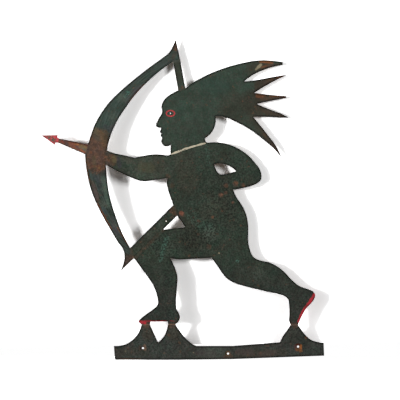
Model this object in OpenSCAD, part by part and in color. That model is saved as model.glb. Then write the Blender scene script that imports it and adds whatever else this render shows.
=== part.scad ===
// Painted sheet iron archer, drawing a bow, on a drilled base rail.
// The figure is built up from flat pieces of sheet, brazed edge to edge.
// X points right, Z points up and the painted front looks along -Y. The origin is the
// middle mounting hole, on the back face. Outlines are drawn on squared paper, as a
// sheet metal pattern is: their points are counted in squares from that hole.

/* [Pattern] */
// Side of one square of the drawn pattern
square_w = 10; // [8:0.5:13]

/* [Sheet] */
// Thickness of the sheet iron
sheet_t = 2.5; // [1.5:0.1:4]

/* [Mounting holes] */
// Diameter of the three holes in the base rail
hole_d = 4.5; // [3:0.5:8]

/* [Base rail] */
// Height of the rail at its left end
rail_h = 27.5; // [24:0.5:40]
// Height of the rail at its right end
rail_end_h = 25.5; // [22:0.5:38]

/* [Feet] */
// Width of the front toe where it stands on the rail
toe_w = 17; // [10:0.5:20]
// Width of the front heel where it stands on the rail
heel_w = 14.5; // [9:0.5:18]
// Width of the rear toes where they stand on the rail
rear_toe_w = 15; // [9:0.5:18]

/* [Bow and bowstring] */
// Height of the hand where it holds the bow
hand_w = 29; // [20:0.5:34]
// Width of the upper strip of the bowstring
upper_string_w = 15; // [10:0.5:18]
// Width of the lower strip of the bowstring
lower_string_w = 20.5; // [14:0.5:24]
// Length of the lower strip that lies along the knee
knee_seam_l = 83; // [60:1:95]

/* [Arrow] */
// Slope of the arrow above the level
arrow_tilt = 17; // [5:1:30]
// Length of the arrow's shaft in front of the bow
shaft_l = 57; // [40:1:80]
// Width of the shaft at the bow
shaft_base_w = 20.5; // [12:0.5:26]
// Width of the shaft at the head
shaft_tip_w = 9; // [6:0.5:12]
// Length of the neck between the shaft and the barbs
collar_l = 4; // [2:0.5:8]
// Length of the head in front of its barbs
point_l = 31.5; // [20:0.5:45]
// Width of the neck where it meets the barbs
collar_w = 11; // [9:0.5:14]
// Width of the head across its barbs
barb_w = 20.5; // [16:0.5:28]

/* [Small holes] */
// Diameter of the hole that is the pupil of the eye
pupil_d = 2.6; // [1.5:0.1:4]
// Diameter of the pinhole in the lower strip of the bowstring
pinhole_d = 1.8; // [1:0.1:3]

/* [Brazed seams] */
// Width of the brazing metal between two pieces
seam_gap = 1.5; // [0.8:0.1:2.5]
// Width of a seam's crown on the back
crown_w = 6; // [4:0.5:8]
// Height of a seam's crown on the back
crown_h = 1; // [0.5:0.1:1.5]
// Distance from the end of a seam to the end of its crown
crown_inset = 1; // [0.5:0.1:2]

/* [Hidden] */

paint_green = [0.22, 0.27, 0.23];
rust_brown = [0.42, 0.31, 0.24];
signal_red = [0.75, 0.18, 0.22];
spelter = [0.55, 0.44, 0.26];

// Longest straight step along a curve, and the most that it turns between two steps
curve_step = square_w * 0.6;
turn_step = 10;
// Clearance of cutting tools past a face
past = 1;
hole_fn = 48;

// Smooth curves through drawn points

// Unit vector from point i of a run to the next one
function chord(p, i) = (p[i + 1] - p[i]) / norm(p[i + 1] - p[i]);

// Tangent of a run at its point i: a weighted mean inside the run, a parabola's at its ends
function tangent(p, i) =
    let (last = len(p) - 1)
    last == 1 ? chord(p, 0)
    : i == 0 ? 2 * chord(p, 0) - tangent(p, 1)
    : i == last ? 2 * chord(p, last - 1) - tangent(p, last - 1)
    : let (before = norm(p[i] - p[i - 1]), after = norm(p[i + 1] - p[i]))
      (chord(p, i - 1) * after + chord(p, i) * before) / (before + after);

// Point at share t of the span that follows point i
function along_span(p, i, t) =
    let (d = norm(p[i + 1] - p[i]), m0 = d * tangent(p, i), m1 = d * tangent(p, i + 1))
    p[i] * (1 + t * t * (2 * t - 3)) + m0 * t * (1 - t) * (1 - t)
    + p[i + 1] * t * t * (3 - 2 * t) + m1 * t * t * (t - 1);

// Angle between two directions
function turn(a, b) = abs(atan2(a.x * b.y - a.y * b.x, a * b));

// Number of steps along the span that follows point i
function steps(p, i) =
    let (span = norm(p[i + 1] - p[i]), bend = turn(tangent(p, i), tangent(p, i + 1)))
    max(ceil(span / curve_step), ceil(bend / turn_step));

// Points of a smooth run, without its last one
function smooth(p) =
    len(p) == 2 ? [p[0]]
    : [for (i = [0 : len(p) - 2])
        let (n = steps(p, i))
        for (k = [0 : n - 1]) along_span(p, i, k / n)];

// Closed outline from runs: each starts at a corner and curves to the next run's corner
function outline(runs) =
    [for (k = [0 : len(runs) - 1])
        each smooth(concat(runs[k], [runs[(k + 1) % len(runs)][0]]))];

// Pattern points in millimetres
function sq(points) = [for (p = points) p * square_w];

// Brazed joints: [middle of the seam, angle of its line, length of the line]

function ray(angle) = [cos(angle), sin(angle)];

function heading(from, to) = atan2(to.y - from.y, to.x - from.x);

// Corner of a joint: end -1 or 1 along its line, side -1 right of the line and 1 left of it
function corner(joint, end, side) =
    joint[0] + end * joint[2] / 2 * ray(joint[1]) + side * seam_gap / 2 * ray(joint[1] + 90);

// Joint where a strip is cut off at a slant
function strip_joint(middle, cut_angle, strip_angle, width) =
    [middle, cut_angle, width / abs(sin(cut_angle - strip_angle))];

front_toe = [[-16.43, 5.8] * square_w, 0, toe_w];
front_heel = [[-11.25, 5.85] * square_w, 0, heel_w];
rear_toe = [[13.23, 5.75] * square_w, 0, rear_toe_w];

hand_cut = 85.5;
hand = [[-24.22, 39.1] * square_w, hand_cut, hand_w];

upper_nock_cut = 11;
head_cut = 16;
upper_nock_at = [-10.25, 58.4] * square_w;
head_at = [-9.25, 52.9] * square_w;
upper_string_angle = heading(upper_nock_at, head_at);
upper_nock = strip_joint(upper_nock_at, upper_nock_cut, upper_string_angle, upper_string_w);
head_joint = strip_joint(head_at, head_cut, upper_string_angle, upper_string_w);

lower_nock_cut = 108;
waist_cut = 110.5;
lower_nock_at = [-19.19, 20.1] * square_w;
waist_at = [-10.6, 28.55] * square_w;
lower_string_angle = heading(lower_nock_at, waist_at);
lower_nock = strip_joint(lower_nock_at, lower_nock_cut, lower_string_angle, lower_string_w);
waist = strip_joint(waist_at, waist_cut, lower_string_angle, lower_string_w);

// The knee's seam starts at the strip's lower left corner and follows its lower edge
knee_start = corner(lower_nock, -1, -1);
knee_angle = heading(knee_start, corner(waist, -1, 1));
knee_middle = knee_start + knee_seam_l / 2 * ray(knee_angle) - seam_gap / 2 * ray(knee_angle + 90);
knee = [knee_middle, knee_angle, knee_seam_l];

arrow_cut = 73;
arrow_at = [-28.34, 40.88] * square_w;
arrow = [arrow_at, arrow_cut, shaft_base_w];
arrow_angle = 180 - arrow_tilt;
head_start = arrow_at + shaft_l * ray(arrow_angle);
arrow_tip = [head_start, arrow_angle - 90, shaft_tip_w];

// Outlines

// Profile of the face on the drawing book's canon: brow, nose base and chin stand one
// third of the face apart, and the eye is halfway up the head
chin_z = 41.5;
third = 3.7;
mouth_z = chin_z + third * 2 / 3;
nose_z = chin_z + third;
brow_z = nose_z + third;
eye_z = chin_z + 6.5;
eye_at = [-11.5, eye_z];
face = [
    [[-11.45, chin_z + 0.2], [-12.1, chin_z - 0.05], [-12.7, chin_z], [-13.18, chin_z + 0.45],
     [-13.34, chin_z + 1.05], [-13.2, chin_z + 1.6], [-13.38, chin_z + 1.92], [-13.45, chin_z + 2.2]],
    [[-13.25, mouth_z], [-13.55, mouth_z + 0.27], [-13.58, mouth_z + 0.5], [-13.42, mouth_z + 0.8]],
    [[-13.45, nose_z - 0.05], [-13.98, nose_z], [-14.32, nose_z + 0.25], [-14.38, nose_z + 0.62],
     [-14.15, nose_z + 1.15], [-13.72, nose_z + 2], [-13.28, eye_z - 0.05], [-13.14, eye_z + 0.35],
     [-13.22, brow_z - 0.05], [-13.3, brow_z + 0.35], [-13.2, brow_z + 0.95], [-12.8, brow_z + 1.75],
     [-12.1, brow_z + 2.5], [-11.3, brow_z + 3.02], [-10.5, brow_z + 3.45]]
];

// Locks of hair that stream behind the head, from the upper one to the lower one
hair = [
    [[-7.1, 54.1], [-5.6, 54.95], [-4, 55.78], [-2, 56.6], [0, 57.3], [2.4, 57.95], [4.8, 58.45],
     [7, 58.63], [9, 58.5]],
    [[10.9, 58.25]],
    [[10.95, 57.75], [8.8, 57.25], [6.4, 56.4], [4.6, 55.45]],
    [[3.2, 54.35], [5.6, 54.65], [8.8, 55.25]],
    [[11.95, 55.75], [8, 53.78]],
    [[5.25, 52.1], [8, 51.75]],
    [[11.6, 51.45]],
    [[11.65, 51.1], [8.8, 50.55]],
    [[5.75, 49.9], [8, 48.95], [10.4, 48.05]],
    [[12.2, 47.15], [9.6, 47.2], [7.2, 47.35]],
    [[5.05, 47.3], [6.4, 45.67], [8, 43.65], [9.6, 41.5]],
    [[10.65, 39.25], [9.6, 40.5], [8, 42], [6.4, 43.3], [4.8, 44.5], [3.2, 45.5], [1.6, 46.3],
     [0, 47.05], [-1.2, 47.4]],
    [[-2.5, 47.5], [-2.45, 46.4], [-2.75, 45.1], [-3.3, 44.15], [-4, 43.45]]
];

// The rest of the body, clockwise from the hand that holds the bow

wrist_top = [[-23.2, 40.2], [-21, 39.7]];
forearm_top = [[-18.6, 39.15], [-17, 39.5], [-15, 39.82], [-13, 39.72], [-12, 39.6]];
throat = [[-11.5, 39.75]];
nape = [[-4.6, 43]];
nape_foot = [[-4.55, 42.5]];
shoulder_and_elbow = [
    [-4.2, 42.15], [-2.4, 42.22], [0, 41.86], [2.4, 40.8], [4, 39.65], [5.4, 38.15], [6.25, 37.02],
    [6.7, 35.7], [6.6, 34.75], [6, 34.15], [4.8, 33.55], [3.2, 33.1]
];
back_and_rear_leg = [
    [1.05, 32.75], [1.65, 31.35], [2.5, 30.1], [3.2, 28.9], [3.75, 27.4], [4.02, 25.8], [4.05, 24],
    [4.05, 22.4], [4.35, 20.9], [4.9, 19.6], [5.7, 18.9], [7, 18.52], [8.2, 18.25], [9.6, 17.6],
    [11.2, 16.4], [12.8, 14.7], [14.4, 13.45], [16, 12.88], [17, 12.4], [17.42, 11.7], [17.25, 11],
    [16.55, 10], [15.6, 9], [14.95, 7.9], [14.4, 6.8]
];
shin_and_thigh_of_rear_leg = [
    [12.17, 6.6], [12.22, 9.6], [12.05, 10.75], [11.4, 11.42], [10.4, 11.82], [8, 12.32],
    [5.6, 12.9], [3.2, 13.5], [1.6, 13.98], [0.5, 14.5], [-0.4, 15.15], [-1.6, 16.72], [-2.4, 17.9]
];
front_thigh = [[-3.3, 19.15], [-5.6, 19.05], [-8, 18.88], [-10, 18.82]];
front_calf = [
    [-11.5, 19.1], [-11, 18.05], [-10.45, 16.8], [-10.1, 15.5], [-10.15, 13.8], [-10.3, 12],
    [-10.38, 9.8]
];
front_heel_back = [[-10.32, 8.95], [-9.9, 8.2], [-9.62, 7.4], [-9.8, 6.6]];
instep_start = [[-12.05, 6.42]];
instep_end = [[-15.5, 6.42]];
front_toes = [
    [-17.6, 6.08], [-17.86, 6.42], [-17.65, 6.82], [-16.9, 7.45], [-15.8, 8.25], [-14.8, 9],
    [-14.25, 9.5]
];
front_shin = [[-13.95, 10.1], [-14.03, 10.8], [-14.35, 12.2], [-15, 13.75], [-16, 15.3], [-17.25, 17]];
lap = [[-8.55, 25.3]];
chest = [[-11.4, 31], [-12.05, 33], [-12.25, 34.3]];
forearm_underside = [
    [-12.05, 35.1], [-13.6, 34.8], [-15.2, 34.6], [-16.8, 34.43], [-17.9, 34.62], [-19.2, 35.1],
    [-20.8, 35.83], [-22.4, 36.6]
];

module archer_outline() {
    polygon(outline([
        concat([corner(hand, 1, -1)], sq(wrist_top)),
        sq(forearm_top),
        sq(throat),
        for (run = face) sq(run),
        [corner(head_joint, -1, -1)],
        concat([corner(head_joint, 1, -1)], sq(hair[0])),
        for (k = [1 : len(hair) - 1]) sq(hair[k]),
        sq(nape),
        sq(nape_foot),
        sq(shoulder_and_elbow),
        sq(back_and_rear_leg),
        [corner(rear_toe, 1, 1)],
        [corner(rear_toe, -1, 1)],
        sq(shin_and_thigh_of_rear_leg),
        sq(front_thigh),
        sq(front_calf),
        sq(front_heel_back),
        [corner(front_heel, 1, 1)],
        [corner(front_heel, -1, 1)],
        sq(instep_start),
        sq(instep_end),
        [corner(front_toe, 1, 1)],
        concat([corner(front_toe, -1, 1)], sq(front_toes)),
        sq(front_shin),
        [corner(knee, -1, -1)],
        [corner(knee, 1, -1)],
        sq(lap),
        [corner(waist, -1, -1)],
        concat([corner(waist, 1, -1)], sq(chest)),
        sq(forearm_underside),
        [corner(hand, -1, -1)]
    ]));
}

// Gap between the bent drawing arm and the chest
module elbow_gap_outline() {
    polygon(outline([
        sq([[-2.8, 37.85], [-1.8, 38], [-0.7, 37.85]]),
        sq([[1.65, 36.45], [0.2, 36.05], [-0.9, 35.83], [-1.5, 35.82], [-2.05, 36.25], [-2.5, 37]])
    ]));
}

// The bow, anticlockwise from its upper tip

upper_bow_outer = [
    [-10.45, 62.8], [-10.95, 61.6], [-11.75, 60.2], [-12.9, 59.25], [-15, 57.72], [-18, 55.42],
    [-20.9, 53], [-23.4, 50.6], [-25.25, 48.2], [-26.6, 45.8], [-27.45, 43.5]
];
lower_bow_outer = [
    [-28.5, 38.6], [-28.12, 35.8], [-27.4, 32.8], [-26.35, 30.1], [-25.05, 27.5], [-23.4, 24.6],
    [-21.95, 22.2], [-21, 20.9], [-20.65, 19.5], [-20.85, 18.2]
];
lower_bow_tip = [[-21.5, 16.45]];
lower_bow_inner = [
    [-20.4, 22.6], [-21.55, 25], [-22.42, 27.4], [-23.2, 29.8], [-23.8, 32.2], [-24.15, 34.6]
];
upper_bow_inner = [
    [-23.9, 42.1], [-23.2, 44.2], [-22.1, 46.6], [-20.55, 49], [-18.8, 51.4], [-16.6, 53.8],
    [-13.95, 56.2]
];

module bow_outline() {
    polygon(outline([
        sq(upper_bow_outer),
        [corner(arrow, 1, -1)],
        concat([corner(arrow, -1, -1)], sq(lower_bow_outer)),
        sq(lower_bow_tip),
        [corner(lower_nock, -1, 1)],
        concat([corner(lower_nock, 1, 1)], sq(lower_bow_inner)),
        [corner(hand, -1, 1)],
        concat([corner(hand, 1, 1)], sq(upper_bow_inner)),
        [corner(upper_nock, -1, 1)],
        [corner(upper_nock, 1, 1)]
    ]));
}

module upper_bowstring_outline() {
    polygon([
        corner(upper_nock, -1, -1), corner(upper_nock, 1, -1),
        corner(head_joint, 1, 1), corner(head_joint, -1, 1)
    ]);
}

module lower_bowstring_outline() {
    polygon([
        corner(lower_nock, 1, -1), corner(waist, 1, 1),
        corner(waist, -1, 1), corner(lower_nock, -1, -1)
    ]);
}

module arrow_shaft_outline() {
    polygon([
        corner(arrow, 1, 1), corner(arrow, -1, 1),
        corner(arrow_tip, -1, -1), corner(arrow_tip, 1, -1)
    ]);
}

// Point of the arrow's head at a distance past the shaft and a distance off its axis
function head_point(past_shaft, off_axis) =
    head_start + past_shaft * ray(arrow_angle) + off_axis * ray(arrow_angle - 90);

module arrow_head_outline() {
    barbs_at = seam_gap + collar_l;
    polygon([
        corner(arrow_tip, -1, 1), corner(arrow_tip, 1, 1),
        head_point(barbs_at, collar_w / 2), head_point(barbs_at, barb_w / 2),
        head_point(barbs_at + point_l, 0),
        head_point(barbs_at, -barb_w / 2), head_point(barbs_at, -collar_w / 2)
    ]);
}

left_hole = [-17, 1.1] * square_w;
right_hole = [14, 1.4] * square_w;
rail_left = -22.8 * square_w;
rail_right = 19.1 * square_w;
rail_top = 1.52 * square_w;
rail_end_top = 2.15 * square_w;

// The flanks of the three pedestals, clockwise from the rail's left end

front_toe_left_flank = [
    [-21.6, 1.57], [-20.6, 1.82], [-19.3, 2.55], [-18.42, 3.4], [-17.87, 4.2], [-17.5, 5]
];
notch_bottom = [[-14.1, 2.5], [-13.9, 2.3], [-13.65, 2.5]];
notch_right_side = [[-12.15, 5.15]];
front_heel_right_flank = [[-10, 5], [-9.43, 4.2], [-8.77, 3.4], [-7.95, 2.6], [-7.2, 1.97]];
rear_left_flank = [[10.4, 2.27], [10.68, 2.9], [11.05, 3.6], [11.55, 4.3], [12.08, 5.05]];
rear_right_flank = [[14.5, 5], [15.07, 4.2], [15.77, 3.4], [16.8, 2.65], [17.9, 2.32]];

// The rail is level on the left of its bend, and tapers on the right of it
rail_bend = square_w;
rail_bend_h = rail_h - 0.15 * square_w;

module base_rail_outline() {
    polygon(outline([
        concat([[rail_left, rail_top]], sq(front_toe_left_flank)),
        [corner(front_toe, -1, -1)],
        [corner(front_toe, 1, -1)],
        sq(notch_bottom),
        sq(notch_right_side),
        [corner(front_heel, -1, -1)],
        concat([corner(front_heel, 1, -1)], sq(front_heel_right_flank)),
        [[-6.35 * square_w, rail_top]],
        [[rail_bend, rail_top]],
        sq(rear_left_flank),
        [corner(rear_toe, -1, -1)],
        concat([corner(rear_toe, 1, -1)], sq(rear_right_flank)),
        [[rail_right, rail_end_top]],
        [[rail_right + 0.1 * square_w, rail_end_top - rail_end_h]],
        [[rail_bend, rail_top - rail_bend_h]],
        [[-10 * square_w, rail_top - rail_h]],
        [[rail_left + 0.2 * square_w, rail_top - rail_h]]
    ]));
}

// Pieces of sheet stand upright, with their back face in the plane of X and Z

module sheet() {
    rotate([90, 0, 0])
        linear_extrude(sheet_t) children();
}

// A round hole through the sheet, at a point of the pattern in millimetres
module drill(at, d) {
    translate([at.x, past, at.y])
        rotate([90, 0, 0])
            cylinder(d = d, h = sheet_t + 2 * past, $fn = hole_fn);
}

// Brazing metal that fills the gap between two edges, flush with the sheet on both faces
module seam_filling(joint) {
    translate([-joint[2] / 2, -sheet_t, -seam_gap / 2])
        cube([joint[2], sheet_t, seam_gap]);
}

// Low round crown along the back of a seam, from start to joint[2] - crown_inset
module seam_crown(joint, start) {
    crown_r = (crown_w * crown_w / 4 + crown_h * crown_h) / (2 * crown_h);
    translate([start - joint[2] / 2, 0, 0])
        rotate([90, 0, 90])
            linear_extrude(joint[2] - start - crown_inset)
                intersection() {
                    translate([crown_h - crown_r, 0]) circle(r = crown_r, $fn = hole_fn);
                    translate([0, -crown_w]) square([crown_h, 2 * crown_w]);
                }
}

// The seams under the feet are dressed flush, because the rail's back lies flat when mounted
module flush_seam(joint) {
    color(spelter)
    translate([joint[0].x, 0, joint[0].y])
        rotate([0, -joint[1], 0])
            seam_filling(joint);
}

module crowned_seam(joint, start = crown_inset) {
    color(spelter)
    translate([joint[0].x, 0, joint[0].y])
        rotate([0, -joint[1], 0]) {
            seam_filling(joint);
            seam_crown(joint, start);
        }
}

module archer() {
    color(paint_green)
    difference() {
        sheet() difference() {
            archer_outline();
            elbow_gap_outline();
        }
        drill(eye_at * square_w, pupil_d);
    }
}

module bow() {
    color(paint_green) sheet() bow_outline();
}

module upper_bowstring() {
    color(paint_green) sheet() upper_bowstring_outline();
}

pinhole_at = [-12.35, 26.48] * square_w;

module lower_bowstring() {
    color(paint_green)
    difference() {
        sheet() lower_bowstring_outline();
        drill(pinhole_at, pinhole_d);
    }
}

module arrow_shaft() {
    color(rust_brown) sheet() arrow_shaft_outline();
}

module arrow_head() {
    color(signal_red) sheet() arrow_head_outline();
}

module base_rail() {
    color(paint_green)
    difference() {
        sheet() base_rail_outline();
        drill(left_hole, hole_d);
        drill([0, 0], hole_d);
        drill(right_hole, hole_d);
    }
}

archer();
bow();
upper_bowstring();
lower_bowstring();
arrow_shaft();
arrow_head();
base_rail();
flush_seam(front_toe);  // front_toe_seam
flush_seam(front_heel);  // front_heel_seam
flush_seam(rear_toe);  // rear_toe_seam
crowned_seam(hand);  // hand_seam
crowned_seam(arrow);  // arrow_seam
crowned_seam(arrow_tip);  // arrow_head_seam
crowned_seam(upper_nock);  // upper_nock_seam
crowned_seam(lower_nock);  // lower_nock_seam
crowned_seam(head_joint);  // head_seam
crowned_seam(waist);  // waist_seam
crowned_seam(knee, start = 1.2 * crown_w);  // knee_seam
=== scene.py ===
import math
import random

import bmesh
import bpy
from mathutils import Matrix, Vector, noise


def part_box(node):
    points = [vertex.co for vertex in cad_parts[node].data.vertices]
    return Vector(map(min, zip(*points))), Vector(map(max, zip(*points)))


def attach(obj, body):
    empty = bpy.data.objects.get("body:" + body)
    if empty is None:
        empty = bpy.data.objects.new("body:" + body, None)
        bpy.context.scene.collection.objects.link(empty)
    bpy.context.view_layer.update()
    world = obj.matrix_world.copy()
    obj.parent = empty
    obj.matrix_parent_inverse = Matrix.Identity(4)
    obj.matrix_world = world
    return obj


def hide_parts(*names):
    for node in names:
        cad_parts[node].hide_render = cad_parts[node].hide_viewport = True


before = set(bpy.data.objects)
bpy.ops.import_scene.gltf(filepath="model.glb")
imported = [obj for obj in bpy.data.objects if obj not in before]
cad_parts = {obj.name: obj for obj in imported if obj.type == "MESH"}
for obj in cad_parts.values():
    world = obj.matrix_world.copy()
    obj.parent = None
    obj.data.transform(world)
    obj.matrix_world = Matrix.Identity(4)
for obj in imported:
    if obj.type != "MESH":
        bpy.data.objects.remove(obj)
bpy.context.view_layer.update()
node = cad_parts
mm = 0.001
thick = 2.5 * mm  # of the sheets, whose front face is at -thick and whose back is at 0
print("frame loaded,", len(node), "nodes")


# Small helpers for node trees.

def feed(tree, socket, value):
    # a socket is linked, anything else is typed in
    if isinstance(value, bpy.types.NodeSocket):
        tree.links.new(value, socket)
    else:
        socket.default_value = value


def add(tree, kind, inputs=None, **settings):
    made = tree.nodes.new("ShaderNode" + kind)
    for name, value in settings.items():
        setattr(made, name, value)
    for name, value in (inputs or {}).items():
        feed(tree, made.inputs[name], value)
    return made


def calc(tree, operation, a, b=0.0, c=0.0, clamp=False):
    made = add(tree, "Math", {0: a, 1: b, 2: c}, operation=operation, use_clamp=clamp)
    return made.outputs[0]


def times(tree, a, b, clamp=False):
    return calc(tree, "MULTIPLY", a, b, clamp=clamp)


def vectorCalc(tree, operation, a, b=(0, 0, 0), out="Vector"):
    made = add(tree, "VectorMath", {0: a}, operation=operation)
    if operation == "SCALE":
        feed(tree, made.inputs["Scale"], b)
    else:
        feed(tree, made.inputs[1], b)
    return made.outputs[out]


def remap(tree, value, low, high, toLow=0.0, toHigh=1.0, smooth=True):
    made = add(tree, "MapRange", {"Value": value, "From Min": low, "From Max": high,
                                  "To Min": toLow, "To Max": toHigh},
               interpolation_type="SMOOTHSTEP" if smooth else "LINEAR")
    return made.outputs["Result"]


def noiseAt(tree, place, scale, detail=2.0, roughness=0.5, out="Fac"):
    made = add(tree, "TexNoise", {"Vector": place, "Scale": scale, "Detail": detail,
                                  "Roughness": roughness})
    return made.outputs[out]


def bumped(tree, height, strength, deep, **under):
    # deep is in millimetres; Normal= is the surface that it lies on
    made = add(tree, "Bump", {"Height": height, "Strength": strength, "Distance": deep * mm, **under})
    return made.outputs["Normal"]


def blend(tree, factor, a, b, how="MIX"):
    made = add(tree, "Mix", data_type="RGBA", blend_type=how, clamp_factor=True)
    feed(tree, made.inputs["Factor"], factor)
    feed(tree, made.inputs[6], a)
    feed(tree, made.inputs[7], b)
    return made.outputs[2]


def colour(red, green, blue):
    # a paint card's 0-255 values, as the linear numbers that a shader takes
    def linear(v):
        v /= 255
        return v / 12.92 if v <= 0.04045 else ((v + 0.055) / 1.055) ** 2.4
    return (linear(red), linear(green), linear(blue), 1)


def newGroup(name, inputs, outputs):
    # every effect is told its place on the sheet, then its other inputs with their usual values
    tree = bpy.data.node_groups.new(name, "ShaderNodeTree")
    tree.interface.new_socket("Place", in_out="INPUT", socket_type="NodeSocketVector")
    for label, usual in inputs.items():
        kind = "Vector" if isinstance(usual, tuple) else "Float"
        socket = tree.interface.new_socket(label, in_out="INPUT", socket_type="NodeSocket" + kind)
        socket.default_value = usual
    for label, kind in outputs.items():
        tree.interface.new_socket(label, in_out="OUTPUT", socket_type="NodeSocket" + kind)
    return tree, tree.nodes.new("NodeGroupInput").outputs, tree.nodes.new("NodeGroupOutput").inputs


def use(tree, group, **inputs):
    made = tree.nodes.new("ShaderNodeGroup")
    made.node_tree = group
    for name, value in inputs.items():
        feed(tree, made.inputs[name], value)
    return made.outputs


# Effects, each a node group that the materials share.

def buildMottling():
    # cloudy tone, fine grain and downward streaks of old brushed paint
    tree, given, result = newGroup(
        "mottling", {"Cloud": 55.0, "Grain": 310.0, "Streak": 260.0},
        {"Clouds": "Float", "Grain": "Float", "Streaks": "Float", "Patches": "Float"})
    clouds = noiseAt(tree, given["Place"], given["Cloud"], 4.0, 0.62)
    grain = noiseAt(tree, given["Place"], given["Grain"], 3.0, 0.7)
    drawn = vectorCalc(tree, "MULTIPLY", given["Place"], (1, 1, 0.14))
    streaks = noiseAt(tree, drawn, given["Streak"], 3.0, 0.6)
    moved = vectorCalc(tree, "ADD", given["Place"], (3.1, 0.7, 1.9))
    patches = noiseAt(tree, moved, times(tree, given["Cloud"], 0.42), 5.0, 0.68)
    feed(tree, result["Clouds"], remap(tree, clouds, 0.3, 0.7))
    feed(tree, result["Grain"], remap(tree, grain, 0.28, 0.72))
    feed(tree, result["Streaks"], remap(tree, streaks, 0.4, 0.72))
    feed(tree, result["Patches"], remap(tree, patches, 0.34, 0.68))
    return tree


def buildSides():
    # front face, back face and cut edge of the sheet, told apart by depth
    tree, given, result = newGroup("sheetSides", {}, {"Front": "Float", "Back": "Float", "Rim": "Float"})
    skin = 0.08 * mm
    depth = add(tree, "SeparateXYZ", {0: given["Place"]}).outputs["Y"]
    front = calc(tree, "LESS_THAN", depth, skin - thick)
    back = calc(tree, "GREATER_THAN", depth, -skin)
    feed(tree, result["Front"], front)
    feed(tree, result["Back"], back)
    feed(tree, result["Rim"], calc(tree, "SUBTRACT", 1.0, calc(tree, "ADD", front, back), clamp=True))
    return tree


def buildEdgeWear():
    # how near a sharp edge is, where the paint has gone there, and the edge's own small round
    tree, given, result = newGroup(
        "edgeWear", {"Width": 0.0065, "Ragged": 0.5},
        {"Near": "Float", "Bare": "Float", "Round": "Vector"})
    bevel = tree.nodes.new("ShaderNodeBevel")
    bevel.samples = 6
    feed(tree, bevel.inputs["Radius"], given["Width"])
    small = tree.nodes.new("ShaderNodeBevel")
    small.samples = 4
    feed(tree, small.inputs["Radius"], times(tree, given["Width"], 0.06))
    trueNormal = tree.nodes.new("ShaderNodeNewGeometry").outputs["True Normal"]
    turned = vectorCalc(tree, "DOT_PRODUCT", bevel.outputs["Normal"], trueNormal, out="Value")
    near = remap(tree, turned, 0.994, 0.981)
    ragged = noiseAt(tree, given["Place"], 330.0, 3.0, 0.65)
    cut = times(tree, remap(tree, ragged, 0.3, 0.7), given["Ragged"])
    feed(tree, result["Near"], near)
    feed(tree, result["Bare"], times(tree, calc(tree, "SUBTRACT", near, cut, clamp=True), 1.6, clamp=True))
    feed(tree, result["Round"], small.outputs["Normal"])
    return tree


def tornMask(tree, given, away, size, half, torn, tear):
    # 1 inside a mark and 0 outside it, with a soft rim that noise has torn
    shift = times(tree, calc(tree, "SUBTRACT", torn, 0.5), times(tree, given["Ragged"], size))
    reach = calc(tree, "ADD", away, times(tree, shift, tear))
    inner = times(tree, half, calc(tree, "SUBTRACT", 1.0, given["Soft"]))
    outer = times(tree, half, calc(tree, "ADD", 1.0, given["Soft"]))
    return remap(tree, reach, outer, inner)


def buildSpot():
    # a round mark at one place of the sheet, with a ragged rim
    tree, given, result = newGroup(
        "spotMark", {"Middle": (0, 0, 0), "Radius": 0.003, "Soft": 0.5, "Ragged": 0.8},
        {"Mask": "Float"})
    flat = vectorCalc(tree, "MULTIPLY", given["Place"], (1, 0, 1))
    away = vectorCalc(tree, "DISTANCE", flat, given["Middle"], out="Value")
    torn = noiseAt(tree, given["Place"], 300.0, 3.0, 0.62)
    feed(tree, result["Mask"], tornMask(tree, given, away, given["Radius"], given["Radius"], torn, 2.2))
    return tree


def buildStroke():
    # a brushed or worn stroke between two places
    tree, given, result = newGroup(
        "strokeMark", {"From": (0, 0, 0), "To": (0, 0, 0), "Width": 0.004, "Soft": 0.3, "Ragged": 0.4},
        {"Mask": "Float"})
    # worked in plain numbers, since many strokes that each hold a vector overfill a shader
    line = vectorCalc(tree, "SUBTRACT", given["To"], given["From"])
    length = vectorCalc(tree, "LENGTH", line, out="Value")

    def measured(direction):
        here = vectorCalc(tree, "DOT_PRODUCT", given["Place"], direction, out="Value")
        start = vectorCalc(tree, "DOT_PRODUCT", given["From"], direction, out="Value")
        return calc(tree, "DIVIDE", calc(tree, "SUBTRACT", here, start), length)
    reached = measured(line)
    across = measured(vectorCalc(tree, "CROSS_PRODUCT", line, (0, 1, 0)))
    beyond = calc(tree, "SUBTRACT", reached, calc(tree, "MINIMUM", calc(tree, "MAXIMUM", reached, 0.0),
                                                  length))
    away = calc(tree, "SQRT", calc(tree, "MULTIPLY_ADD", across, across, times(tree, beyond, beyond)))
    torn = noiseAt(tree, given["Place"], 240.0, 4.0, 0.62)
    half = times(tree, given["Width"], 0.5)
    feed(tree, result["Mask"], tornMask(tree, given, away, given["Width"], half, torn, 2.0))
    return tree


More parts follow.
